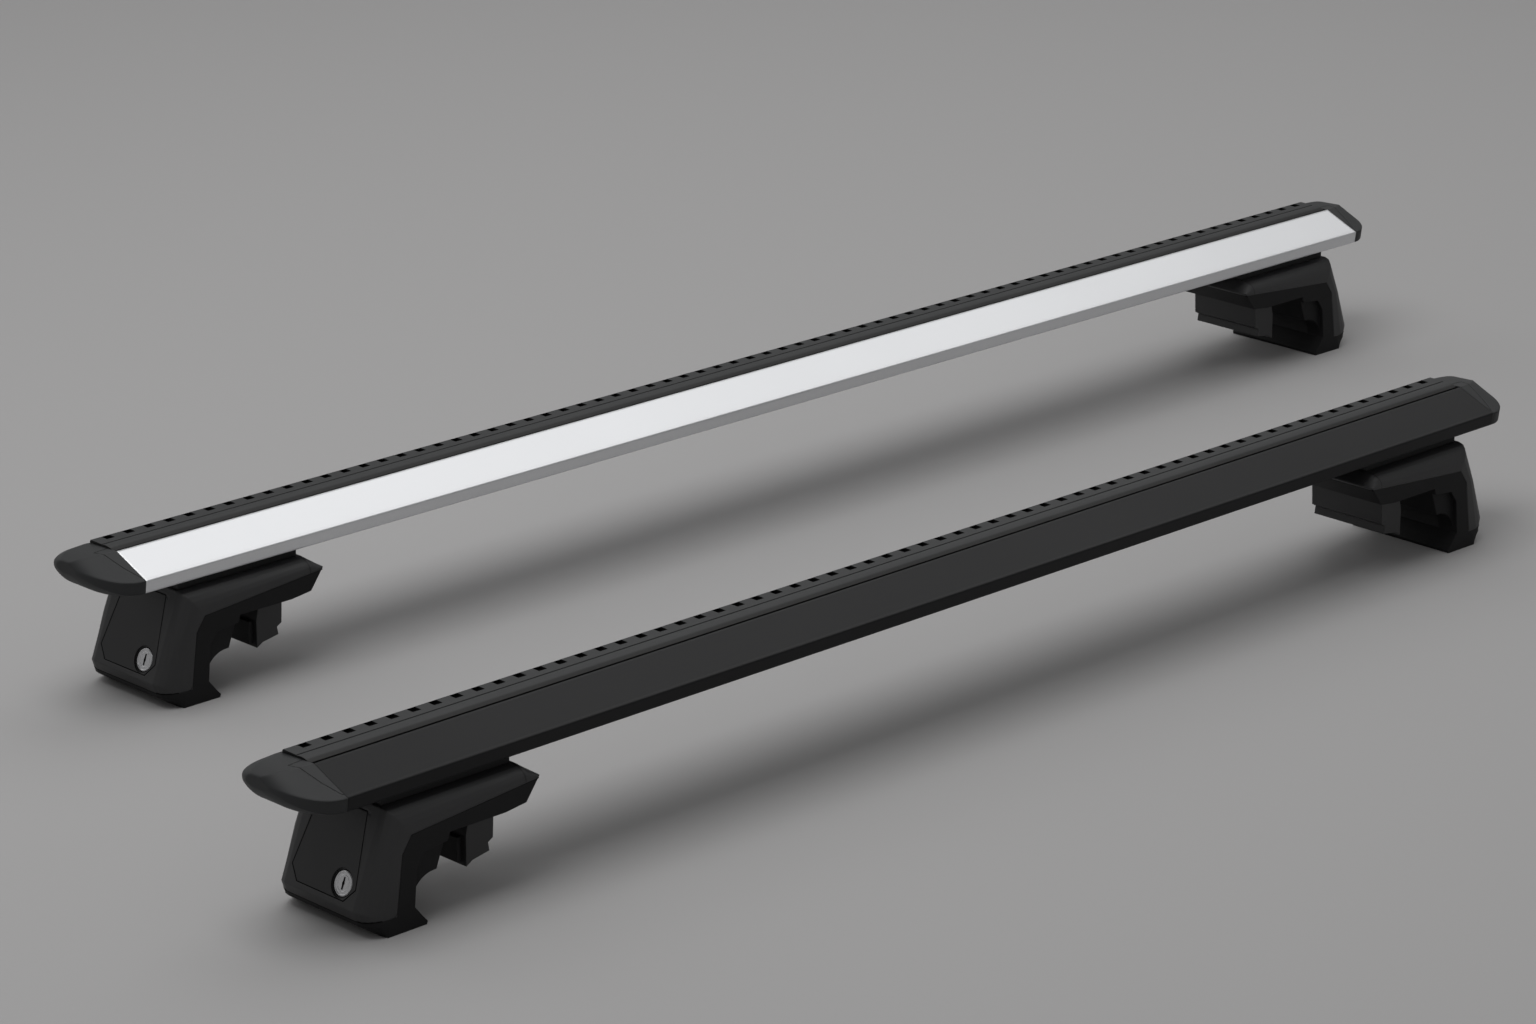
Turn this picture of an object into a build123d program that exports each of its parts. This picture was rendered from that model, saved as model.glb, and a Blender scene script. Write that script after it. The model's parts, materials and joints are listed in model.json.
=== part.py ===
from build123d import *
import os

# A pair of roof cross bars on four clamping feet, in millimetres, +Z up.
# The bars run along X. The silver bar is the far one (+Y) and the black bar the near one.
os.makedirs("parts", exist_ok=True)

# Lengths of the two aluminium extrusions and how they stand to each other.
silver_length = 1270.0
black_length = 1100.0
bar_spacing = 396.0
bar_stagger = 236.0

# Section of the extrusion, from its underside up and from its middle across.
bar_width = 80.0
bar_height = 27.4
underside_flat = 26.0
edge_bottom = 5.0
edge_top = 14.0
edge_lean = 1.2
facet_width = 8.3
facet_rise = 3.4
nose_height = 12.0
crown_width = 4.0
crown_drop = 1.4
wall = 2.4

# Channels of the extrusion: a shallow seat and a T-slot on top, a T-slot below.
seat_left = -8.0
seat_width = 30.0
seat_depth = 3.4
slot_mouth = 12.0
slot_channel = 22.0
slot_channel_height = 6.8
top_slot_middle = 9.0

# Rubber strip in the top channel.
strip_width = 26.0
strip_proud = 1.0
strip_edge = 1.0
strip_step = 0.4
strip_groove = 1.0
strip_barb = 1.2
notch_pitch = 17.3
notch_length = 6.8
notch_width = 7.5
notch_depth = 2.2

# End caps.
cap_reach = 30.0
cap_tongue = 18.0
cap_tongue_gap = 0.3
flap_reach = 12.0
flap_width = 38.0
flap_thickness = 2.6
seam_gap = 0.35

# Foot: side outline, with x inboard from the end of the aluminium and z up from the floor.
foot_width = 91.0
bar_floor_height = 82.0
toe_x = 22.0
heel_x = 54.0
cheek_x = 6.5
cheek_z = 18.0
chamfer_x = 10.0
chamfer_z = 8.0
shell_top_x = 31.0
base_height = 12.4
seam_leg_x = 30.0
seam_shoulder_x = 35.5
seam_shoulder_drop = 31.0
seam_corner_x = 43.0
seam_corner_drop = 19.5
beam_nose_x = 148.0
beam_nose_drop = 10.0
beam_top_end = 138.0
beam_chin_x = 136.0
beam_chin_drop = 25.0
beam_under_x = 119.0
beam_under_drop = 27.0
beam_root_setback = 20.0
flat_half = 33.0
shoulder_steps = [0.0, 0.35, 0.6, 0.8, 0.93, 1.0]
toe_inset = 1.5
seam_inset = 0.8
band_recess = 3.6
band_leg = 47.5
band_shoulder_drop = 43.0
band_beam_x = 54.0
band_beam_drop = 34.0

# Arch over the roof rail and the hook of the outer jaw.
hook_tip_z = 2.0
hook_lip_z = 6.4
arch_foot_x = 45.0
arch_foot_z = 14.0
arch_roof_x = 63.0
arch_roof_z = 32.0
arch_end_x = 94.0
arch_end_z = 34.5
arch_bulge_x = 4.6
arch_bulge_z = 6.4
hook_lip_reach = 3.0
gap_splay = 60.0
channel_start = 72.0
channel_half = 33.4

# Inner jaw, which slides outboard along X to close on the rail.
jaw_clearance = 0.4
jaw_nose_x = 97.0
jaw_nose_z = 21.6
jaw_travel = 12.0
jaw_skin = 2.0
jaw_heel_drop = 47.0
jaw_notch = 4.0
jaw_grip_drop = 40.0
jaw_taper = 3.0
pad_thickness = 3.0
pad_half = 28.0

# Clamp bolt along X, its nut and the T-bolt that holds the foot to the bar.
bolt_drop = 36.5
bolt_radius = 4.0
bolt_fit = 0.05
bolt_head_radius = 6.5
bolt_head_length = 8.0
bolt_head_x = 40.0
bolt_socket_width = 6.0
bolt_socket_depth = 5.0
bolt_bore_gap = 0.4
bolt_reach = 5.0
nut_width = 13.0
nut_thickness = 6.5
nut_setback = 3.5
t_head_width = 20.0
t_head_thickness = 4.0
t_bolt_drop = 18.0
t_bolt_x = 80.0
bar_pad_thickness = 3.0

# Hinged cover on the outer face, with its lock.
cover_thickness = 3.0
cover_top_width = 44.0
cover_low_width = 60.0
cover_foot_width = 44.0
cover_gap = 0.35
cover_fit = 0.05
cover_top_drop = 6.0
cover_foot_margin = 4.2
cover_chamfer = 9.0
cover_ledge = 4.0
pin_radius = 1.1
pin_length = 3.0
well_depth = 10.0
well_start = 8.0
lock_radius = 8.0
lock_fit = 0.05
lock_across = -17.0
lock_rise = 9.7
lock_length = 7.0
lock_setback = 1.2
lock_collar = 9.6
lock_slot_width = 1.6
lock_slot_length = 8.0
lock_slot_depth = 2.0
lock_cam_reach = 8.6
lock_cam_width = 6.0
lock_cam_thickness = 2.0
lock_pocket_radius = 11.5

bar_half = bar_width / 2
foot_half = foot_width / 2
shell_top_z = bar_floor_height - bar_pad_thickness

# Heights of the foot that hang from the underside of the bar.
seam_shoulder_z = bar_floor_height - seam_shoulder_drop
seam_corner_z = bar_floor_height - seam_corner_drop
beam_nose_z = bar_floor_height - beam_nose_drop
beam_chin_z = bar_floor_height - beam_chin_drop
beam_under_z = bar_floor_height - beam_under_drop
band_shoulder_z = bar_floor_height - band_shoulder_drop
band_beam_z = bar_floor_height - band_beam_drop
bolt_height = bar_floor_height - bolt_drop
jaw_heel_z = bar_floor_height - jaw_heel_drop
jaw_grip_z = bar_floor_height - jaw_grip_drop


def section_at(x, near, far, bottom, top):
    """Bar outline on the YZ plane at x, stretched between the given edges."""
    across = (far - near) / bar_width
    up = (top - bottom) / bar_height

    def point(y, z):
        return (near + (y + bar_half) * across, bottom + z * up)

    flat = underside_flat / 2
    facet_y = -bar_half + facet_width
    seat_far = seat_left + seat_width
    crown_y = seat_far + crown_width
    crown_z = bar_height - 2 * crown_drop
    edges = [
        Line(point(-flat, 0), point(flat, 0)),
        ThreePointArc(point(flat, 0), point(flat + 16, 2.4), point(bar_half - 3.2, 6.6)),
        ThreePointArc(point(bar_half - 3.2, 6.6), point(bar_half, nose_height), point(bar_half - 3, 18.2)),
        ThreePointArc(
            point(bar_half - 3, 18.2),
            point(crown_y + 6.6, crown_z - 3.2),
            point(crown_y, crown_z),
        ),
        Line(point(crown_y, crown_z), point(seat_far, bar_height - crown_drop)),
        Line(point(seat_far, bar_height - crown_drop), point(seat_left, bar_height)),
        Line(point(seat_left, bar_height), point(facet_y, edge_top + facet_rise)),
        Line(point(facet_y, edge_top + facet_rise), point(-bar_half, edge_top)),
        Line(point(-bar_half, edge_top), point(-bar_half + edge_lean, edge_bottom)),
        ThreePointArc(
            point(-bar_half + edge_lean, edge_bottom),
            point(-flat - 12, 1.3),
            point(-flat, 0),
        ),
    ]
    return Plane.YZ.offset(x) * make_face(edges)


def bar_outline():
    return section_at(0, -bar_half, bar_half, 0, bar_height)


def block(x0, x1, y0, y1, z0, z1):
    """Plain block between two corners."""
    return Pos((x0 + x1) / 2, (y0 + y1) / 2, (z0 + z1) / 2) * Box(x1 - x0, y1 - y0, z1 - z0)


def side_prism(points, half_width):
    """Side outline on XZ, drawn out evenly to both sides of the middle plane."""
    outline = Plane.XZ * make_face(Polyline(*points, close=True))
    return extrude(outline, amount=half_width, both=True)


# Extrusion: two chambers beside a core that carries the T-slots.
core_near = -slot_channel / 2 - wall
core_far = top_slot_middle + slot_channel / 2 + wall
seat_floor = bar_height - seat_depth
top_channel_top = seat_floor - wall
tall = 2 * bar_height


def chamber(length, gap):
    """The two hollow chambers, shrunk by gap, over the given length from x = 0."""
    inset = wall + gap
    inner = section_at(0, -bar_half + inset, bar_half - inset, inset, bar_height - inset)
    hollow = extrude(inner, amount=length, dir=(1, 0, 0))
    near = hollow & block(0, length, -bar_width, core_near - gap, -tall, tall)
    far = hollow & block(0, length, core_far + gap, bar_width, -tall, tall)
    return [near, far]


def make_bar(length):
    bar = extrude(bar_outline(), amount=length, dir=(1, 0, 0))
    for hollow in chamber(length, 0):
        bar = bar - hollow
    bar = bar - block(0, length, seat_left, seat_left + seat_width, seat_floor, tall)
    mouth = slot_mouth / 2
    channel = slot_channel / 2
    bar = bar - block(0, length, top_slot_middle - mouth, top_slot_middle + mouth, top_channel_top, tall)
    bar = bar - block(
        0,
        length,
        top_slot_middle - channel,
        top_slot_middle + channel,
        top_channel_top - slot_channel_height,
        top_channel_top,
    )
    bar = bar - block(0, length, -mouth, mouth, -tall, wall)
    bar = bar - block(0, length, -channel, channel, wall, wall + slot_channel_height)
    return bar


def make_strip(length):
    """Rubber strip: two low bands on a barbed tongue, with notches along the far band."""
    far = seat_left + seat_width
    near = far - strip_width
    top = bar_height + strip_proud
    middle = (near + far) / 2
    mouth = slot_mouth / 2
    barb_y = mouth + strip_barb
    barb_top = top_channel_top
    edges = [
        Line((near, seat_floor), (near, bar_height - strip_edge)),
        ThreePointArc(
            (near, bar_height - strip_edge),
            ((near + middle) / 2, top),
            (middle - strip_groove, top - strip_step),
        ),
        Line((middle - strip_groove, top - strip_step), (middle - strip_groove / 2, top - strip_groove)),
        Line((middle - strip_groove / 2, top - strip_groove), (middle, top - strip_step / 2)),
        Line((middle, top - strip_step / 2), (far - strip_edge, top)),
        Line((far - strip_edge, top), (far, top - strip_edge)),
        Line((far, top - strip_edge), (far, seat_floor)),
        Line((far, seat_floor), (top_slot_middle + mouth, seat_floor)),
        Line((top_slot_middle + mouth, seat_floor), (top_slot_middle + mouth, barb_top)),
        Line((top_slot_middle + mouth, barb_top), (top_slot_middle + barb_y, barb_top)),
        Line((top_slot_middle + barb_y, barb_top), (top_slot_middle, barb_top - slot_channel_height / 2)),
        Line((top_slot_middle, barb_top - slot_channel_height / 2), (top_slot_middle - barb_y, barb_top)),
        Line((top_slot_middle - barb_y, barb_top), (top_slot_middle - mouth, barb_top)),
        Line((top_slot_middle - mouth, barb_top), (top_slot_middle - mouth, seat_floor)),
        Line((top_slot_middle - mouth, seat_floor), (near, seat_floor)),
    ]
    strip = extrude(Plane.YZ * make_face(edges), amount=length, dir=(1, 0, 0))
    count = int(length // notch_pitch)
    first = (length - (count - 1) * notch_pitch) / 2
    notches = []
    for index in range(count):
        middle_x = first + index * notch_pitch
        notches.append(
            block(
                middle_x - notch_length / 2,
                middle_x + notch_length / 2,
                far - notch_width,
                far + 1,
                top - notch_depth,
                top + 1,
            )
        )
    return strip - notches


def make_cap():
    """Domed end cap: bar outlines that shrink outboard, with tongues for the chambers."""
    end = -cap_reach
    sections = [
        bar_outline(),
        section_at(end * 0.30, -bar_half + 2.0, bar_half - 1.2, 0.4, bar_height - 0.2),
        section_at(end * 0.62, -bar_half + 9.5, bar_half - 4.5, 3.0, bar_height - 0.8),
        section_at(end * 0.87, -bar_half + 22.5, bar_half - 11.5, 8.5, bar_height - 2.4),
        section_at(end, -bar_half + 38.0, bar_half - 20.0, 14.5, bar_height - 5.0),
    ]
    dome = loft(sections)
    flap_far = 2.0
    flap_near = flap_far - flap_width
    wedge = [
        (1, flap_far),
        (-flap_reach, flap_far - 1),
        (-flap_reach / 2, flap_near + flap_width / 3),
        (-1, flap_near),
        (1, flap_near),
    ]
    flap_region = extrude(make_face(Polyline(*wedge, close=True)), amount=tall)
    under = Pos(0, 0, -flap_thickness) * extrude(bar_outline(), amount=-2 * cap_reach, dir=(1, 0, 0))
    flap_region = flap_region - under
    grown = offset(make_face(Polyline(*wedge, close=True)), amount=seam_gap, kind=Kind.INTERSECTION)
    flap_slot = extrude(grown, amount=tall) - under
    flap = dome & flap_region
    cap = dome - flap_slot
    for tongue in chamber(cap_tongue, cap_tongue_gap):
        cap = cap + tongue
    return cap, flap


# Foot, built once for a left end: x inboard, y across, z from the floor.
shell_side = [
    (toe_x, 0),
    (chamfer_x, chamfer_z),
    (cheek_x, cheek_z),
    ((cheek_x + shell_top_x) / 2, (cheek_z + shell_top_z) / 2),
    (shell_top_x, shell_top_z),
    (beam_top_end, shell_top_z),
    (beam_nose_x, beam_nose_z),
    (beam_chin_x, beam_chin_z),
    (beam_under_x, beam_under_z),
    (heel_x + beam_root_setback, beam_under_z),
    (heel_x, 0),
]
seam_side = [
    (toe_x + toe_inset, 0),
    (toe_x + 2 * toe_inset, chamfer_z),
    (seam_leg_x, base_height),
    (seam_shoulder_x, seam_shoulder_z),
    (seam_corner_x, seam_corner_z),
    (beam_top_end, beam_nose_z - seam_inset),
    (beam_nose_x - 1, beam_nose_z),
    (beam_chin_x, beam_chin_z),
    (beam_under_x, beam_under_z),
    (heel_x + beam_root_setback, beam_under_z),
    (heel_x, 0),
]


def side_face(points, y):
    return Plane.XZ.offset(-y) * make_face(Polyline(*points, close=True))


def shoulder_face(share):
    """Side outline part of the way from the flat front to the outer side, on a round path."""
    ease = 1 - (1 - share**2) ** 0.5
    points = []
    for (flat_x, flat_z), (side_x, side_z) in zip(shell_side, seam_side):
        points.append((flat_x + (side_x - flat_x) * ease, flat_z + (side_z - flat_z) * ease))
    return side_face(points, -flat_half - (foot_half - flat_half) * share)


middle_block = side_prism(shell_side, flat_half)
near_shoulder = loft([shoulder_face(share) for share in shoulder_steps], ruled=True)
far_shoulder = mirror(near_shoulder, about=Plane.XZ)
foot_block = middle_block + near_shoulder + far_shoulder

# The arch carries the hook, the beam and the base; the shell covers it outside and above.
arch_region = side_prism(
    [
        (toe_x - 20, -1),
        (toe_x - 20, base_height - seam_inset),
        (seam_leg_x + seam_inset, base_height - seam_inset),
        (seam_shoulder_x + seam_inset, seam_shoulder_z),
        (seam_corner_x + seam_inset, seam_corner_z - seam_inset),
        (beam_nose_x - seam_inset, beam_nose_z - 2 * seam_inset),
        (beam_nose_x + 20, beam_nose_z - 2 * seam_inset),
        (beam_nose_x + 20, -1),
    ],
    foot_half + 1,
)
arch_curve = ThreePointArc(
    (arch_foot_x, arch_foot_z),
    (arch_foot_x + arch_bulge_x, arch_roof_z - arch_bulge_z),
    (arch_roof_x, arch_roof_z),
)
gap_edges = [
    Line((heel_x, -1), (heel_x, 0)),
    Line((heel_x, 0), (heel_x + 1, hook_tip_z)),
    Line((heel_x + 1, hook_tip_z), (heel_x - hook_lip_reach, hook_lip_z)),
    Line((heel_x - hook_lip_reach, hook_lip_z), (arch_foot_x, arch_foot_z)),
    arch_curve,
    Line((arch_roof_x, arch_roof_z), (arch_end_x, arch_end_z)),
    Line((arch_end_x, arch_end_z), (beam_under_x - 8, beam_under_z)),
    Line((beam_under_x - 8, beam_under_z), (beam_under_x, beam_under_z)),
    Line((beam_under_x, beam_under_z), (beam_under_x + gap_splay, -1)),
    Line((beam_under_x + gap_splay, -1), (heel_x, -1)),
]
rail_gap = extrude(Plane.XZ * make_face(gap_edges), amount=foot_half + 2, both=True)
jaw_channel = block(
    channel_start, beam_under_x + 1, -channel_half, channel_half, hook_lip_z, beam_under_z
)
cheek = side_prism(
    [
        (arch_foot_x, arch_foot_z),
        (band_leg, band_shoulder_z),
        (band_beam_x, band_beam_z),
        (beam_under_x - 2, beam_under_z - 0.6),
        (beam_under_x - 2, arch_foot_z),
    ],
    foot_half + 1,
)
cheek = cheek - block(0, 2 * beam_nose_x, -foot_half + band_recess, foot_half - band_recess, -1, tall * 2)

# Rubber lining of the arch, which rests on the rail.
lining_edges = [
    arch_curve,
    Line((arch_roof_x, arch_roof_z), (arch_roof_x - 0.6, arch_roof_z + pad_thickness)),
    ThreePointArc(
        (arch_roof_x - 0.6, arch_roof_z + pad_thickness),
        (arch_foot_x + 2.4, arch_roof_z - 4.2),
        (arch_foot_x - pad_thickness, arch_foot_z + 1.2),
    ),
    Line((arch_foot_x - pad_thickness, arch_foot_z + 1.2), (arch_foot_x, arch_foot_z)),
]
rail_lining = extrude(Plane.XZ * make_face(lining_edges), amount=pad_half, both=True)

# Cover plane: its origin is the hinge axis, x runs across, y down the face and z outward.
face_slope = Vector(cheek_x - shell_top_x, 0, cheek_z - shell_top_z)
face_line = face_slope.normalized()
cover_length = face_slope.length - cover_top_drop - cover_foot_margin
face_out = Vector(face_line.Z, 0, -face_line.X)
hinge_point = (
    Vector(shell_top_x, 0, shell_top_z) + face_line * cover_top_drop - face_out * (cover_thickness / 2)
)
cover_plane = Plane(origin=hinge_point, x_dir=(0, 1, 0), z_dir=face_out)
inner_face = -cover_thickness / 2
outer_face = cover_thickness / 2


def cover_outline(gap):
    """Cover outline in its own plane, grown by gap all round except at the hinge."""
    top = cover_top_width / 2 + gap
    low = cover_low_width / 2 + gap
    foot = cover_foot_width / 2 + gap
    shoulder = cover_length - cover_chamfer
    end = cover_length + gap
    return make_face(
        Polyline(
            (-top, 0),
            (top, 0),
            (low, shoulder),
            (foot, end),
            (-foot, end),
            (-low, shoulder),
            close=True,
        )
    )


def on_cover(shape):
    return cover_plane.location * shape


def knuckle(gap, fit):
    """Round top edge of the cover, grown by gap, with a pivot pin at each end, grown by fit."""
    edge = Rot(0, 90, 0) * Cylinder(cover_thickness / 2 + gap, cover_top_width + 2 * gap)
    pins = Rot(0, 90, 0) * Cylinder(pin_radius + fit, cover_top_width + 2 * pin_length + 2 * gap)
    return edge + pins


lock_place = Pos(lock_across, cover_length - lock_rise, 0)
plate = Pos(0, 0, inner_face) * extrude(cover_outline(0), amount=cover_thickness)
plate = plate + knuckle(0, 0)
plate = plate - lock_place * Cylinder(lock_radius + lock_fit, 4 * cover_thickness)
plate = plate - lock_place * Pos(0, 0, outer_face) * Cylinder(lock_collar, 2 * lock_setback)
cover = on_cover(plate)

barrel_top = outer_face - lock_setback
barrel = Pos(0, 0, barrel_top - lock_length / 2) * Cylinder(lock_radius, lock_length)
key_slot = Pos(0, 0, barrel_top) * Box(lock_slot_width, lock_slot_length, 2 * lock_slot_depth)
cam = Pos(0, lock_cam_reach / 2, barrel_top - lock_length - lock_cam_thickness / 2) * Box(
    lock_cam_width, lock_cam_reach, lock_cam_thickness
)
lock = on_cover(lock_place * (barrel - key_slot + cam))

recess_depth = cover_thickness / 2 + cover_gap
recess = Pos(0, 0, -recess_depth) * extrude(cover_outline(cover_gap), amount=2 * recess_depth + 2)
recess = recess + knuckle(cover_gap, cover_fit)

# Well behind the cover, with a ledge all round for the cover and more room around the lock.
well_floor = -recess_depth - well_depth
well = extrude(cover_outline(-cover_ledge), amount=well_floor)
well = well & block(-foot_half, foot_half, well_start, cover_length, well_floor, 0)
lock_room = lock_place * Pos(0, 0, well_floor / 2) * Cylinder(lock_pocket_radius, -well_floor)
lock_room = lock_room & extrude(cover_outline(cover_gap), amount=well_floor)
recess = on_cover(recess + well + lock_room)


def along_x(radius, x0, x1):
    """Round bar along X at the height of the clamp bolt."""
    return Pos((x0 + x1) / 2, 0, bolt_height) * Rot(0, 90, 0) * Cylinder(radius, x1 - x0)


# Clamp bolt: a socket head behind the cover, a shank through the arch into the jaw nut.
head_end = bolt_head_x + bolt_head_length
nut_x = jaw_nose_x + nut_setback
bolt_end = nut_x + bolt_reach
jaw_bore_end = bolt_end + jaw_travel + jaw_clearance
jaw_end_x = jaw_bore_end + jaw_skin
bolt = along_x(bolt_head_radius, bolt_head_x, head_end) + along_x(bolt_radius, head_end, bolt_end)
socket = Plane.YZ.offset(bolt_head_x) * RegularPolygon(bolt_socket_width / 2, 6, major_radius=False)
bolt = bolt - Pos(0, 0, bolt_height) * extrude(socket, amount=bolt_socket_depth)
bolt_bore = along_x(bolt_head_radius + bolt_bore_gap, bolt_head_x - well_depth, head_end)
bolt_bore = bolt_bore + along_x(bolt_radius + bolt_bore_gap, head_end, channel_start + 1)

# T-bolt in the lower slot of the extrusion, and the pad that the bar rests on.
slot_floor = bar_floor_height + wall
t_bolt_end = bar_floor_height - t_bolt_drop
t_bolt = block(
    t_bolt_x - t_head_width / 2,
    t_bolt_x + t_head_width / 2,
    -t_head_width / 2,
    t_head_width / 2,
    slot_floor,
    slot_floor + t_head_thickness,
)
t_bolt = t_bolt + Pos(t_bolt_x, 0, (slot_floor + t_bolt_end) / 2) * Cylinder(
    bolt_radius, slot_floor - t_bolt_end
)
t_bore = Pos(t_bolt_x, 0, (slot_floor + t_bolt_end) / 2) * Cylinder(
    bolt_radius + bolt_bore_gap, slot_floor - t_bolt_end + 1
)
bar_space = Pos(0, 0, bar_floor_height) * extrude(bar_outline(), amount=2 * beam_nose_x, dir=(1, 0, 0))
bar_pad = block(
    shell_top_x + 2, beam_top_end - 2, -flat_half + 3, flat_half - 3, shell_top_z, bar_floor_height + 4
)
bar_pad = bar_pad - bar_space - t_bore

arch = foot_block & arch_region
arch = arch - rail_gap - jaw_channel - cheek - rail_lining - recess - bolt_bore - t_bore
shell = foot_block - arch_region - recess - t_bore - bolt_bore

# Inner jaw with its nut and rubber pad.
jaw_top = beam_under_z - jaw_clearance
jaw_half = channel_half - jaw_clearance
jaw = side_prism(
    [
        (jaw_nose_x, jaw_nose_z),
        (jaw_nose_x + 5, jaw_nose_z + 3),
        (jaw_end_x - jaw_notch, jaw_nose_z + 5.4),
        (jaw_end_x - jaw_notch - 1, jaw_heel_z - 2.3),
        (jaw_end_x - 1, jaw_heel_z),
        (jaw_end_x, jaw_top),
        (jaw_nose_x + jaw_taper, jaw_top),
        (jaw_nose_x, jaw_grip_z),
    ],
    jaw_half,
)
nut_half = nut_width / 2
nut_pocket = block(nut_x, nut_x + nut_thickness, -nut_half, nut_half, bolt_height - nut_half, jaw_top + 1)
jaw = jaw - nut_pocket - along_x(bolt_radius + bolt_fit, jaw_nose_x - 1, jaw_bore_end)
nut = block(nut_x, nut_x + nut_thickness, -nut_half, nut_half, bolt_height - nut_half, bolt_height + nut_half)
nut = nut - along_x(bolt_radius + bolt_fit, nut_x - 1, nut_x + nut_thickness + 1)
jaw_pad = block(jaw_nose_x - pad_thickness, jaw_nose_x, -pad_half, pad_half, jaw_nose_z + 2, jaw_grip_z - 2)

foot_pieces = {
    "shell": shell,
    "arch": arch,
    "rail_lining": rail_lining,
    "cover": cover,
    "lock": lock,
    "bolt": bolt,
    "jaw": jaw,
    "jaw_nut": nut,
    "jaw_pad": jaw_pad,
    "bar_pad": bar_pad,
    "t_bolt": t_bolt,
}

# Layout: the whole pair is centred over the origin.
silver_reach = silver_length / 2 + cap_reach
black_reach = black_length / 2 + cap_reach
silver_x = (bar_stagger + black_reach - silver_reach) / 2
bars = {
    "silver": (silver_length, silver_x, bar_spacing / 2),
    "black": (black_length, silver_x - bar_stagger, -bar_spacing / 2),
}


def save(name, shape):
    solids = shape.solids()
    if len(solids) != 1:
        print("pieces", name, len(solids))
    print(name, round(shape.volume), shape.is_valid)
    export_step(shape, "parts/" + name + ".step")


cap, flap = make_cap()
for colour, (length, middle_x, middle_y) in bars.items():
    left = Pos(middle_x - length / 2, middle_y, 0)
    right = Pos(middle_x + length / 2, middle_y, 0)
    lift = Pos(0, 0, bar_floor_height)
    save(colour + "_extrusion", left * lift * make_bar(length))
    save(colour + "_strip", left * lift * make_strip(length))
    for piece, shape in {"cap": cap, "flap": flap}.items():
        save(colour + "_left_" + piece, left * lift * shape)
        save(colour + "_right_" + piece, right * lift * mirror(shape, about=Plane.YZ))
    for piece, shape in foot_pieces.items():
        save(colour + "_left_" + piece, left * shape)
        save(colour + "_right_" + piece, right * mirror(shape, about=Plane.YZ))
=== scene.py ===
import json
import math
import bpy
import numpy as np
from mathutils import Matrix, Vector

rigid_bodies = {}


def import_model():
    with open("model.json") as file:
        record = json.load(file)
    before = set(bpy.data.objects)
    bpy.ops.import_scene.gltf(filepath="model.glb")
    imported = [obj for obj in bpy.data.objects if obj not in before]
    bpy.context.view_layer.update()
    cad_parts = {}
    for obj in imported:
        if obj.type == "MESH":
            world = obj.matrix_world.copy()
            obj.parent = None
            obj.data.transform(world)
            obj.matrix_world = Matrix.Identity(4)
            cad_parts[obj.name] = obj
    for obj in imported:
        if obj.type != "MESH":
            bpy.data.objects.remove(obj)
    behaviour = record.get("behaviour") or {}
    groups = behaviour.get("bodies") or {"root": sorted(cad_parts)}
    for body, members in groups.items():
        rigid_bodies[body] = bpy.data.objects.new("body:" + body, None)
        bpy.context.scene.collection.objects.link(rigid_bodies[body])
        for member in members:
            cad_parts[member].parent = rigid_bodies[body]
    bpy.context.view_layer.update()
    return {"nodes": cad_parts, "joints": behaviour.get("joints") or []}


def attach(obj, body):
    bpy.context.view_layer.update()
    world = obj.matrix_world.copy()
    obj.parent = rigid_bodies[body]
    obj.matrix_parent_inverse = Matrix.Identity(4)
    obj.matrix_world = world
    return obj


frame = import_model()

# Camera: a long lens looking down the two bars from the near left, as in the photograph. Its
# angles, its distance and its focal length come from a fit to the edges and ends of the bars.
azimuth = math.radians(-44.08)
elevation = math.radians(18.62)
distance = 3.4383
focal_px = 4916
image_width_px = 1536
sensor_width_mm = 36
target = Vector((-0.1585, -0.0278, 0.096))
back = Vector((
    math.sin(azimuth) * math.cos(elevation),
    -math.cos(azimuth) * math.cos(elevation),
    math.sin(elevation),
))
camera_data = bpy.data.cameras.new("camera")
camera_data.sensor_width = sensor_width_mm
camera_data.lens = focal_px * sensor_width_mm / image_width_px
camera_data.clip_end = 50
camera = bpy.data.objects.new("camera", camera_data)
camera.location = target + distance * back
camera.rotation_euler = (math.pi / 2 - elevation, 0, azimuth)
bpy.context.collection.objects.link(camera)
bpy.context.scene.camera = camera
bpy.context.scene.view_settings.view_transform = "Standard"

# Floor and light: a plain pale grey studio floor under three soft boxes, one overhead, one to the
# right, which the slanted tops of the bars mirror towards the camera, and one behind. Places and
# sizes are in metres here.
floor_half = 12.0


def linear(hex_colour):
    """sRGB hex to linear RGBA: c / 12.92 up to 0.04045, above it ((c + 0.055) / 1.055) ** 2.4."""
    channels = [int(hex_colour[i:i + 2], 16) / 255 for i in (1, 3, 5)]
    light = [c / 12.92 if c <= 0.04045 else ((c + 0.055) / 1.055) ** 2.4 for c in channels]
    return (*light, 1)


def new_material(name, colour, roughness, metallic=0.0):
    """A Principled material with its plain colour; the sections add their own patterns."""
    material = bpy.data.materials.new(name)
    material.use_nodes = True
    tree = material.node_tree
    shader = tree.nodes["Principled BSDF"]
    shader.inputs["Base Color"].default_value = linear(colour)
    shader.inputs["Roughness"].default_value = roughness
    shader.inputs["Metallic"].default_value = metallic
    return material, tree, shader


def soft_box(name, place, aim, size, power):
    """A square area lamp at place, turned to face aim."""
    lamp = bpy.data.lights.new(name, "AREA")
    lamp.size = size
    lamp.energy = power
    lamp_object = bpy.data.objects.new(name, lamp)
    lamp_object.location = place
    lamp_object.rotation_euler = (Vector(aim) - Vector(place)).to_track_quat("-Z", "Y").to_euler()
    bpy.context.collection.objects.link(lamp_object)


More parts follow.
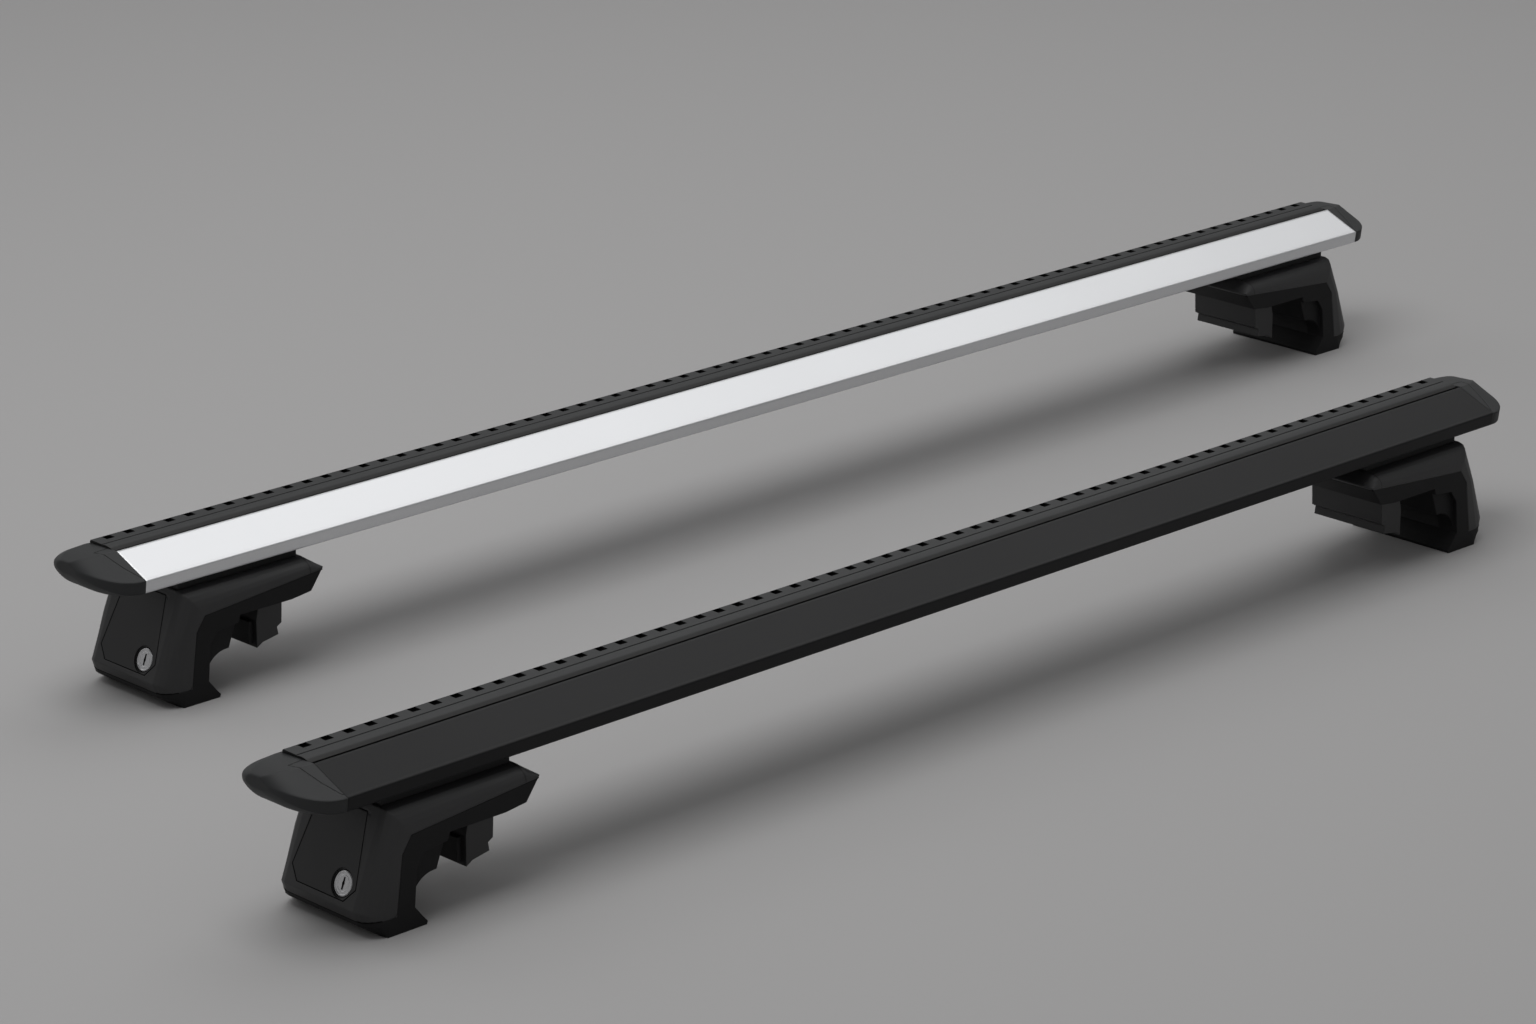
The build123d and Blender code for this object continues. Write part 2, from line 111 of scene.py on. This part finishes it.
corners = np.array([(-1, -1, 0), (1, -1, 0), (1, 1, 0), (-1, 1, 0)]) * floor_half
floor_mesh = bpy.data.meshes.new("floor")
floor_mesh.from_pydata(corners.tolist(), [], [(0, 1, 2, 3)])
floor_mesh.materials.append(new_material("pale_floor", "#ABAAAA", 0.85)[0])
floor = bpy.data.objects.new("floor", floor_mesh)
bpy.context.collection.objects.link(floor)

world = bpy.data.worlds.new("studio")
bpy.context.scene.world = world
world.use_nodes = True
background = world.node_tree.nodes["Background"]
background.inputs["Color"].default_value = linear("#C4C4C4")
background.inputs["Strength"].default_value = 0.5
soft_box("overhead_light", place=(-0.9, 0.1, 2.6), aim=(-0.1, 0, 0), size=2.0, power=31)
soft_box("right_light", place=(1.45, 0.9, 2.4), aim=(0, 0, 0.1), size=2.6, power=19)
soft_box("back_light", place=(-1.0, 3.4, 1.9), aim=(0, 0, 0.1), size=2.6, power=14)

# Extrusions: 6000-series aluminium drawn through a die with a T-slot above and below, then satin
# anodised, one natural and one black. The die leaves very fine lines along the bar, drawn here
# about a millimetre apart so that they show, and the anodising is a touch uneven.
die_line_mm = 1.111
die_line_length_mm = 333
die_line_depth_mm = 0.2
anodising_patch_mm = 167
bar_edge_mm = 2.2


def add_node(tree, kind, settings=None, links=None):
    """Add a shader node, set its properties and sockets, and link its sockets.

    A socket is given by its name, or by its number where several share one name. On a Mix node
    for colours, 0 is the factor, 6 the first colour and 7 the second.
    """
    node = tree.nodes.new(kind)
    for key, value in (settings or {}).items():
        if isinstance(key, int) or key in node.inputs:
            node.inputs[key].default_value = value
        else:
            setattr(node, key, value)
    for key, source in (links or {}).items():
        tree.links.new(source, node.inputs[key])
    return node


def drift_roughness(tree, shader, place, patch_mm, detail, low, high):
    """Let the roughness drift from low to high in soft patches, and return their pattern."""
    cloud = add_node(
        tree, "ShaderNodeTexNoise", {"Scale": 1000 / patch_mm, "Detail": detail}, {"Vector": place}
    )
    patches = cloud.outputs["Fac"]
    shade = add_node(
        tree, "ShaderNodeMapRange", {"To Min": low, "To Max": high}, {"Value": patches}
    )
    tree.links.new(shade.outputs[0], shader.inputs["Roughness"])
    return patches


def relief(tree, shader, pattern, strength, depth_mm, edge_mm, samples=4):
    """Soften the edges over edge_mm and press a fine pattern into the surface."""
    rounding = add_node(tree, "ShaderNodeBevel", {"Radius": edge_mm / 1000, "samples": samples})
    bump = add_node(
        tree,
        "ShaderNodeBump",
        {"Strength": strength, "Distance": depth_mm / 1000},
        {"Height": pattern, "Normal": rounding.outputs[0]},
    )
    tree.links.new(bump.outputs[0], shader.inputs["Normal"])


def dress(nodes, material):
    """Put a material on whole CAD nodes."""
    for name in nodes:
        mesh = frame["nodes"][name].data
        mesh.materials.clear()
        mesh.materials.append(material)


for bar, colour, roughness, metallic, sheen in (
    ("silver", "#DFE0E2", 0.38, 1.0, 0.5),
    ("black", "#1B1B1C", 0.42, 0.0, 0.16),
):
    name = bar + "_anodised_aluminium"
    aluminium, tree, shader = new_material(name, colour, roughness, metallic)
    shader.inputs["Specular IOR Level"].default_value = sheen
    place = add_node(tree, "ShaderNodeTexCoord").outputs["Object"]
    drift_roughness(
        tree, shader, place, anodising_patch_mm, 2, low=roughness - 0.03, high=roughness + 0.05
    )
    drawn_out = add_node(
        tree,
        "ShaderNodeMapping",
        {"Scale": (1000 / die_line_length_mm, 1000 / die_line_mm, 1000 / die_line_mm)},
        {"Vector": place},
    )
    die_lines = add_node(
        tree, "ShaderNodeTexNoise", {"Scale": 1.0, "Detail": 3}, {"Vector": drawn_out.outputs[0]}
    )
    relief(
        tree,
        shader,
        die_lines.outputs["Fac"],
        strength=0.05,
        depth_mm=die_line_depth_mm,
        edge_mm=bar_edge_mm,
        samples=8,
    )
    dress([bar + "_extrusion"], aluminium)

# Strips: dull black EPDM rubber pressed into the top channel, with notches moulded into its far
# band. A thin lip closes the notches at the strip's edge, and no light reaches inside them, so they
# are painted in shadow. Sizes are in millimetres from here on, with y counted from the bar's
# middle.
bar_half_length = {"silver": 635.0, "black": 550.0}
bar_middle_x = {"silver": 75.5, "black": -160.5}
bar_middle_y = {"silver": 198.0, "black": -198.0}
strip_end_gap = 1.0
strip_far_y = 22.0
strip_top_z = 110.4
strip_edge_cut = 1.0
notch_near_y = 14.5
notch_floor_z = 108.2
lip_thickness = 1.2
lip_root = 0.2
skin = 0.02
pocket_floor_lift = 0.03
pocket_wall_drop = 0.04
shaded_below_z = 110.0
black_below_z = 109.5
grain_relief_mm = 0.2
mould_patch_mm = 45.5


def moulded(name, colour, roughness, grain_mm, grain, edge_mm, sheen=0.5):
    """Moulded plastic or rubber: a faint mottle, an eroded grain and softened edges.

    The grain is drawn a few times coarser than the real one so that it shows.
    """
    material, tree, shader = new_material(name, colour, roughness)
    shader.inputs["Specular IOR Level"].default_value = sheen
    place = add_node(tree, "ShaderNodeTexCoord").outputs["Object"]
    patches = drift_roughness(
        tree, shader, place, mould_patch_mm, 3, low=roughness - 0.05, high=roughness + 0.07
    )
    darker, lighter = ([c * share for c in linear(colour)[:3]] + [1] for share in (0.85, 1.15))
    mottle = add_node(
        tree, "ShaderNodeMix", {"data_type": "RGBA", 6: darker, 7: lighter}, {0: patches}
    )
    tree.links.new(mottle.outputs[2], shader.inputs["Base Color"])
    erosion = add_node(
        tree, "ShaderNodeTexNoise", {"Scale": 1000 / grain_mm, "Detail": 2}, {"Vector": place}
    )
    relief(tree, shader, erosion.outputs["Fac"], grain, grain_relief_mm, edge_mm)
    return material


def paint_black_shade(material, mask):
    """Paint near black shade into a moulded material's colour where the mask is 1."""
    tree = material.node_tree
    base_colour = tree.nodes["Principled BSDF"].inputs["Base Color"]
    tone = add_node(
        tree,
        "ShaderNodeMix",
        {"data_type": "RGBA", 7: linear("#050505")},
        {0: mask, 6: base_colour.links[0].from_socket},
    )
    tree.links.new(tone.outputs[2], base_colour)


def surface(name, points, material, body, smooth=True, round_rows=False):
    """Add a piece from a grid of points in millimetres, on a body and with a material slot.

    Each face joins (r, c), (r + 1, c), (r + 1, c + 1) and (r, c + 1). Where round_rows is set,
    the last row joins the first.
    """
    index = np.arange(points.shape[0] * points.shape[1]).reshape(points.shape[:2])
    if round_rows:
        index = np.concatenate([index, index[:1]])
    faces = np.stack([index[:-1, :-1], index[1:, :-1], index[1:, 1:], index[:-1, 1:]], axis=-1)
    faces = faces.reshape(-1, 4)
    mesh = bpy.data.meshes.new(name)
    mesh.from_pydata((points / 1000).reshape(-1, 3).tolist(), [], faces.tolist())
    mesh.polygons.foreach_set("use_smooth", np.full(len(faces), smooth))
    mesh.materials.append(material)
    piece = bpy.data.objects.new(name, mesh)
    bpy.context.collection.objects.link(piece)
    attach(piece, body)


def ribbon(profile, ends_x):
    """Grid of points: a profile of (y, z) points carried straight along x between two ends."""
    x = np.broadcast_to(np.array(ends_x)[:, None, None], (2, len(profile), 1))
    return np.concatenate([x, np.broadcast_to(profile, (2, len(profile), 2))], axis=-1)


# Painted shade on the rubber: black on the faces square to x, which are the ends of the notches,
# and below the strip's top, which is inside the notches and along the strip's low near edge.
epdm_rubber = moulded(
    "epdm_rubber", "#2A2B2C", roughness=0.55, grain_mm=0.5, grain=0.25, edge_mm=0.3, sheen=0.35
)
tree = epdm_rubber.node_tree
place = add_node(tree, "ShaderNodeTexCoord").outputs["Object"]
height = add_node(tree, "ShaderNodeSeparateXYZ", links={"Vector": place}).outputs["Z"]
# low: painted shade below the strip's top, full black below black_below_z.
low = add_node(
    tree,
    "ShaderNodeMapRange",
    {"From Min": shaded_below_z / 1000, "From Max": black_below_z / 1000},
    {"Value": height},
)
facing = add_node(tree, "ShaderNodeNewGeometry").outputs["True Normal"]
along = add_node(tree, "ShaderNodeSeparateXYZ", links={"Vector": facing}).outputs["X"]
notch_end_shade = add_node(tree, "ShaderNodeMath", {"operation": "ABSOLUTE"}, {0: along})
# dark: the painted shade of the notches and the low near edge, put into the rubber's colour.
dark = add_node(
    tree, "ShaderNodeMath", {"operation": "MAXIMUM"}, {0: low.outputs[0], 1: notch_end_shade.outputs[0]}
)
paint_black_shade(epdm_rubber, dark.outputs[0])
dress(["silver_strip", "black_strip"], epdm_rubber)

# The shadow inside notches and joints: a dull near black that takes no light.
joint_shadow = moulded(
    "joint_shadow", "#040404", roughness=0.9, grain_mm=0.5, grain=0.1, edge_mm=0.1, sheen=0.1
)
lip = np.array([
    (strip_far_y - lip_thickness, strip_top_z - skin),
    (strip_far_y - strip_edge_cut, strip_top_z - skin),
    (strip_far_y - skin, strip_top_z - strip_edge_cut - skin),
    (strip_far_y - skin, notch_floor_z - lip_root),
])
# The pockets: a liner of painted shadow on the floor and far wall inside the notches.
pocket = np.array([
    (notch_near_y + skin, notch_floor_z + pocket_floor_lift),
    (strip_far_y - lip_thickness - skin, notch_floor_z + pocket_floor_lift),
    (strip_far_y - lip_thickness - skin, strip_top_z - pocket_wall_drop),
])
for bar in ("silver", "black"):
    reach = bar_half_length[bar] - strip_end_gap
    ends_x = bar_middle_x[bar] - reach, bar_middle_x[bar] + reach
    across = (bar_middle_y[bar], 0)
    for name, profile, material in (("lip", lip, epdm_rubber), ("pocket_shadows", pocket, joint_shadow)):
        points = ribbon(profile + across, ends_x)
        surface(f"{bar}_strip_{name}", points, material, "root", smooth=False)

# End caps: dark grey nylon mouldings, domed, with a fine eroded grain that looks soft and dull.
# Their tongues push into the hollow chambers of the bar.
ends = [bar + side for bar in ("silver_", "black_") for side in ("left_", "right_")]
cap_nylon = moulded(
    "cap_nylon", "#2A2B2C", roughness=0.55, grain_mm=0.4, grain=0.3, edge_mm=2.4, sheen=0.32
)
dress([end + "cap" for end in ends], cap_nylon)

# Slot flaps: a wedge of the same nylon on top of each cap, beside the end of the aluminium. An
# open line a few tenths of a millimetre wide parts it from the cap, in shade inside, painted black
# as shade where the softened normal turns away from the flat one, along the flap's edges.
flap_edge_mm = 0.7
line_begins_cosine = 0.99
line_black_cosine = 0.93
flap_nylon = moulded(
    "flap_nylon",
    "#2A2B2C",
    roughness=0.55,
    grain_mm=0.4,
    grain=0.3,
    edge_mm=flap_edge_mm,
    sheen=0.32,
)
tree = flap_nylon.node_tree
softened = add_node(tree, "ShaderNodeBevel", {"Radius": flap_edge_mm / 1000, "samples": 8})
flat = add_node(tree, "ShaderNodeNewGeometry")
agreement = add_node(
    tree,
    "ShaderNodeVectorMath",
    {"operation": "DOT_PRODUCT"},
    {0: softened.outputs[0], 1: flat.outputs["Normal"]},
)
# line: the painted shade of the open line round the flap, darkest where the normals part most.
line = add_node(
    tree,
    "ShaderNodeMapRange",
    {"From Min": line_begins_cosine, "From Max": line_black_cosine},
    {"Value": agreement.outputs["Value"]},
)
paint_black_shade(flap_nylon, line.outputs[0])
dress([end + "flap" for end in ends], flap_nylon)

# Shells: glass-filled nylon with a spark-eroded grain, the outer body of each foot. Each is made
# of two mouldings that meet in a fine joint line across the beam near its inner end, painted as
# shade.
joint_line_from_middle = {"silver": 499.0, "black": 414.0}
joint_line_half_width = 0.5
for bar in ("silver", "black"):
    shell_nylon = moulded(
        bar + "_shell_nylon", "#2A2A2B", roughness=0.5, grain_mm=0.5, grain=0.35, edge_mm=2.0
    )
    tree = shell_nylon.node_tree
    place = add_node(tree, "ShaderNodeTexCoord").outputs["Object"]
    along = add_node(tree, "ShaderNodeSeparateXYZ", links={"Vector": place}).outputs["X"]
    offset = add_node(
        tree, "ShaderNodeMath", {"operation": "SUBTRACT", 1: bar_middle_x[bar] / 1000}, {0: along}
    )
    from_middle = add_node(
        tree, "ShaderNodeMath", {"operation": "ABSOLUTE"}, {0: offset.outputs[0]}
    )
    # The joint line: a thin band of painted shade across the shell.
    joint_line_shade = add_node(
        tree,
        "ShaderNodeMath",
        {
            "operation": "COMPARE",
            1: joint_line_from_middle[bar] / 1000,
            2: joint_line_half_width / 1000,
        },
        {0: from_middle.outputs[0]},
    )
    paint_black_shade(shell_nylon, joint_line_shade.outputs[0])
    dress([bar + side + "shell" for side in ("_left_", "_right_")], shell_nylon)

# Arches: the inner frame of each foot, with the outer hook and the channel of the jaw, moulded in
# a blacker, duller glass-filled nylon. The shell covers it outside and above.
arch_nylon = moulded(
    "arch_nylon", "#101011", roughness=0.6, grain_mm=0.5, grain=0.35, edge_mm=1.2, sheen=0.25
)
dress([end + "arch" for end in ends], arch_nylon)

# Covers: black nylon plates, smoother than the shells and a little shinier, hinged at the top of
# each foot's outer face. They hide the head of the clamp bolt and carry the lock.
cover_nylon = moulded(
    "cover_nylon", "#212122", roughness=0.4, grain_mm=0.5, grain=0.2, edge_mm=0.5, sheen=0.45
)
dress([end + "cover" for end in ends], cover_nylon)

# Rubbers: the linings of the arches, the pads of the jaws and the seats under the bars, moulded
# in a dull black rubber and pressed or glued on.
foot_rubber = moulded(
    "foot_rubber", "#161617", roughness=0.7, grain_mm=0.8, grain=0.3, edge_mm=0.5
)
dress([end + piece for end in ends for piece in ("rail_lining", "jaw_pad", "bar_pad")], foot_rubber)

# Open joints of the feet, where the shell meets the arch and the cover: a few tenths of a
# millimetre wide and in shade inside, and drawn as thin beads of painted shadow sunk into the
# surface. Their x counts inboard from the end of the aluminium.
foot_half = 45.5
flat_half = 33.0
bead_radius = 0.5
bead_sunk = 0.45
side_line = ((146.5, 70.3), (43.8, 61.7), (36.3, 51.0), (31.2, 14.0))
front_line_z = 11.6
chamfer_z = 8.0
hinge = np.array((30.156, 0.0, 72.873))
down_the_face = np.array((-0.3727, 0.0, -0.9280))
out_of_the_face = np.array((-0.9280, 0.0, 0.3727))
cover_bead_lift = 1.2
cover_corners = np.array([
    (-22.2, -0.9), (22.2, -0.9), (30.2, 46.6), (22.2, 55.8), (-22.2, 55.8), (-30.2, 46.6),
])
off_every_path = (-0.7, 0.1, 0.7)


def bead(path, radius, closed):
    """Grid of points of a thin round bead along a path.

    A point at angle a round the bead stands at path + radius * (cos(a) * n + sin(a) * b), where
    n and b are square to the path's direction and to each other.
    """
    if closed:
        path = np.concatenate([path[-1:], path, path[:2]])
    steps = np.linalg.norm(np.diff(path, axis=0), axis=1)
    direction = np.gradient(path, np.concatenate([[0], np.cumsum(steps)]), axis=0)
    if closed:
        path, direction = path[1:-1], direction[1:-1]
    direction = direction / np.linalg.norm(direction, axis=1, keepdims=True)
    n = np.cross(direction, off_every_path)
    n = n / np.linalg.norm(n, axis=1, keepdims=True)
    b = np.cross(direction, n)
    a = np.linspace(0, 2 * np.pi, 8, endpoint=False)[:, None, None]
    return path + radius * (np.cos(a) * n + np.sin(a) * b)


# The front line runs round the foot's shoulder on the shoulder's own curve: share goes from 1 at
# the side to 0 at the flat front, and ease is 1 - sqrt(1 - share ** 2). At each share, the front
# is a straight slope from the chamfer at the bottom up to the cheek, and each size of the two
# goes with ease from its first value, at the flat front, to its second, at the side.
share = np.linspace(1, 0, 12)
ease = 1 - np.sqrt(1 - share ** 2)
chamfer_x = np.interp(ease, (0, 1), (10.0, 25.0))
cheek_x = np.interp(ease, (0, 1), (6.5, 30.0))
cheek_z = np.interp(ease, (0, 1), (18.0, 12.4))
climb = (front_line_z - chamfer_z) / (cheek_z - chamfer_z)
front_x = chamfer_x * (1 - climb) + cheek_x * climb + bead_sunk * (1 - share)
front_y = flat_half + (foot_half - bead_sunk - flat_half) * share
front_line = np.stack([front_x, front_y, np.full_like(share, front_line_z)], axis=1)
half_edge = np.concatenate([[(x, foot_half - bead_sunk, z) for x, z in side_line], front_line])
shell_edge = np.concatenate([half_edge, half_edge[::-1] * (1, -1, 1)])
cover_edge = (
    hinge
    + cover_corners[:, 1:] * down_the_face
    + cover_corners[:, :1] * (0, 1, 0)
    + cover_bead_lift * out_of_the_face
)
foot_joint_shadows = (("shell_joint_shadow", shell_edge, False), ("cover_joint_shadow", cover_edge, True))
for bar in ("silver", "black"):
    for side, sign in (("left", 1), ("right", -1)):
        end = np.array((bar_middle_x[bar] - sign * bar_half_length[bar], bar_middle_y[bar], 0))
        for joint_name, path, closed in foot_joint_shadows:
            name = f"{bar}_{side}_{joint_name}"
            points = bead(path * (sign, 1, 1) + end, bead_radius, closed)
            # Each bead is painted shadow lying in the joint's gap.
            surface(name, points, joint_shadow, "root", round_rows=True)

# Inner jaws: cast steel, black powder coated, which leaves a slight orange peel. Each slides in
# the channel of its arch and is drawn in by the clamp bolt.
powder_coat = moulded(
    "jaw_powder_coat", "#242425", roughness=0.45, grain_mm=1.2, grain=0.2, edge_mm=0.8
)
dress([end + "jaw" for end in ends], powder_coat)

# Clamp bolts, jaw nuts and T-bolts: cold-formed steel with a bright zinc plate, a little cloudy.
# The clamp bolts draw the jaws in, and the T-bolts hold the feet to the bars.
plating_patch_mm = 3.33
zinc, tree, shader = new_material("zinc_plated_steel", "#B9BABD", 0.3, metallic=1.0)
place = add_node(tree, "ShaderNodeTexCoord").outputs["Object"]
drift_roughness(tree, shader, place, plating_patch_mm, 2, low=0.24, high=0.38)
dress([end + piece for end in ends for piece in ("bolt", "jaw_nut", "t_bolt")], zinc)

# Locks: die-cast zinc barrel, satin chrome plated, its face turned on a lathe, with marks drawn
# coarse enough to show. A rolled rim runs round the barrel, a thin ring parts the key plug from
# it, the key slot is cut into the plug and shown by a patch of painted shadow, and a narrow gap,
# drawn as a ring of painted shadow, parts the barrel from the cover.
turning_mark_mm = 0.556
turning_depth_mm = 0.1
lock_edge_mm = 0.4
lock_face_lift = 0.3
keyway_half_length = 3.9
keyway_half_width = 0.55
keyway_lift = 0.06
chrome, tree, shader = new_material("satin_chrome", "#D4D4D6", 0.27, metallic=1.0)
place = add_node(tree, "ShaderNodeTexCoord").outputs["Object"]
turning = add_node(
    tree, "ShaderNodeTexNoise", {"Scale": 1000 / turning_mark_mm, "Detail": 2}, {"Vector": place}
)
relief(
    tree,
    shader,
    turning.outputs["Fac"],
    strength=0.12,
    depth_mm=turning_depth_mm,
    edge_mm=lock_edge_mm,
)
dress([end + "lock" for end in ends], chrome)


def turned_ring(centre, axis, radius, thickness, height):
    """Grid of points of a half-round ring on a lathe axis.

    A point at angle a round the axis and b over the half circle stands at
    radius + thickness * cos(b) from the axis and height * sin(b) along it.
    """
    a = np.linspace(0, 2 * np.pi, 64, endpoint=False)[:, None, None]
    b = np.linspace(0, np.pi, 9)[:, None]
    side = np.cross(axis, (0, 1, 0))
    side = side / np.linalg.norm(side)
    outward = np.cos(a) * side + np.sin(a) * np.cross(axis, side)
    return centre + (radius + thickness * np.cos(b)) * outward + height * np.sin(b) * axis


def keyway_shadow(centre, axis):
    """Grid of points of painted shadow in the key slot: a flat patch, long and thin, a little wider
    in the middle.

    A point at share s along and t across stands at half_length * s along and
    t * half_width * (1 + exp(-9 * s * s)) * sqrt(1 - s ** 8) across.
    """
    t = np.linspace(-1, 1, 5)[:, None, None]
    s = np.linspace(-1, 1, 33)[:, None]
    across = t * keyway_half_width * (1 + np.exp(-9 * s * s)) * np.sqrt(1 - s ** 8)
    side = np.array((0.0, 1.0, 0.0))
    up = np.cross(axis, side)
    return centre + keyway_half_length * s * up + across * side + keyway_lift * axis


for joint in frame["joints"]:
    if not joint["name"].endswith("_lock_turn"):
        continue
    lock, cover = joint["child"], joint["parent"]
    axis = np.array(joint["axis"]) / np.linalg.norm(joint["axis"])
    face = np.array(joint["pos_m"]) * 1000 + axis * lock_face_lift
    rim = turned_ring(face, axis, radius=7.3, thickness=0.45, height=0.4)
    plug_ring = turned_ring(face, axis, radius=5.1, thickness=0.25, height=0.2)
    gap_shadow = turned_ring(face, axis, radius=8.35, thickness=0.3, height=0.15)
    surface(lock + "_rim", rim, chrome, lock, round_rows=True)
    surface(lock + "_plug_ring", plug_ring, chrome, lock, round_rows=True)
    # The key slot and the gap round the barrel: rings and patches of painted shadow.
    surface(lock + "_keyway", keyway_shadow(face, axis), joint_shadow, lock, smooth=False)
    surface(lock + "_gap", gap_shadow, joint_shadow, cover, round_rows=True)
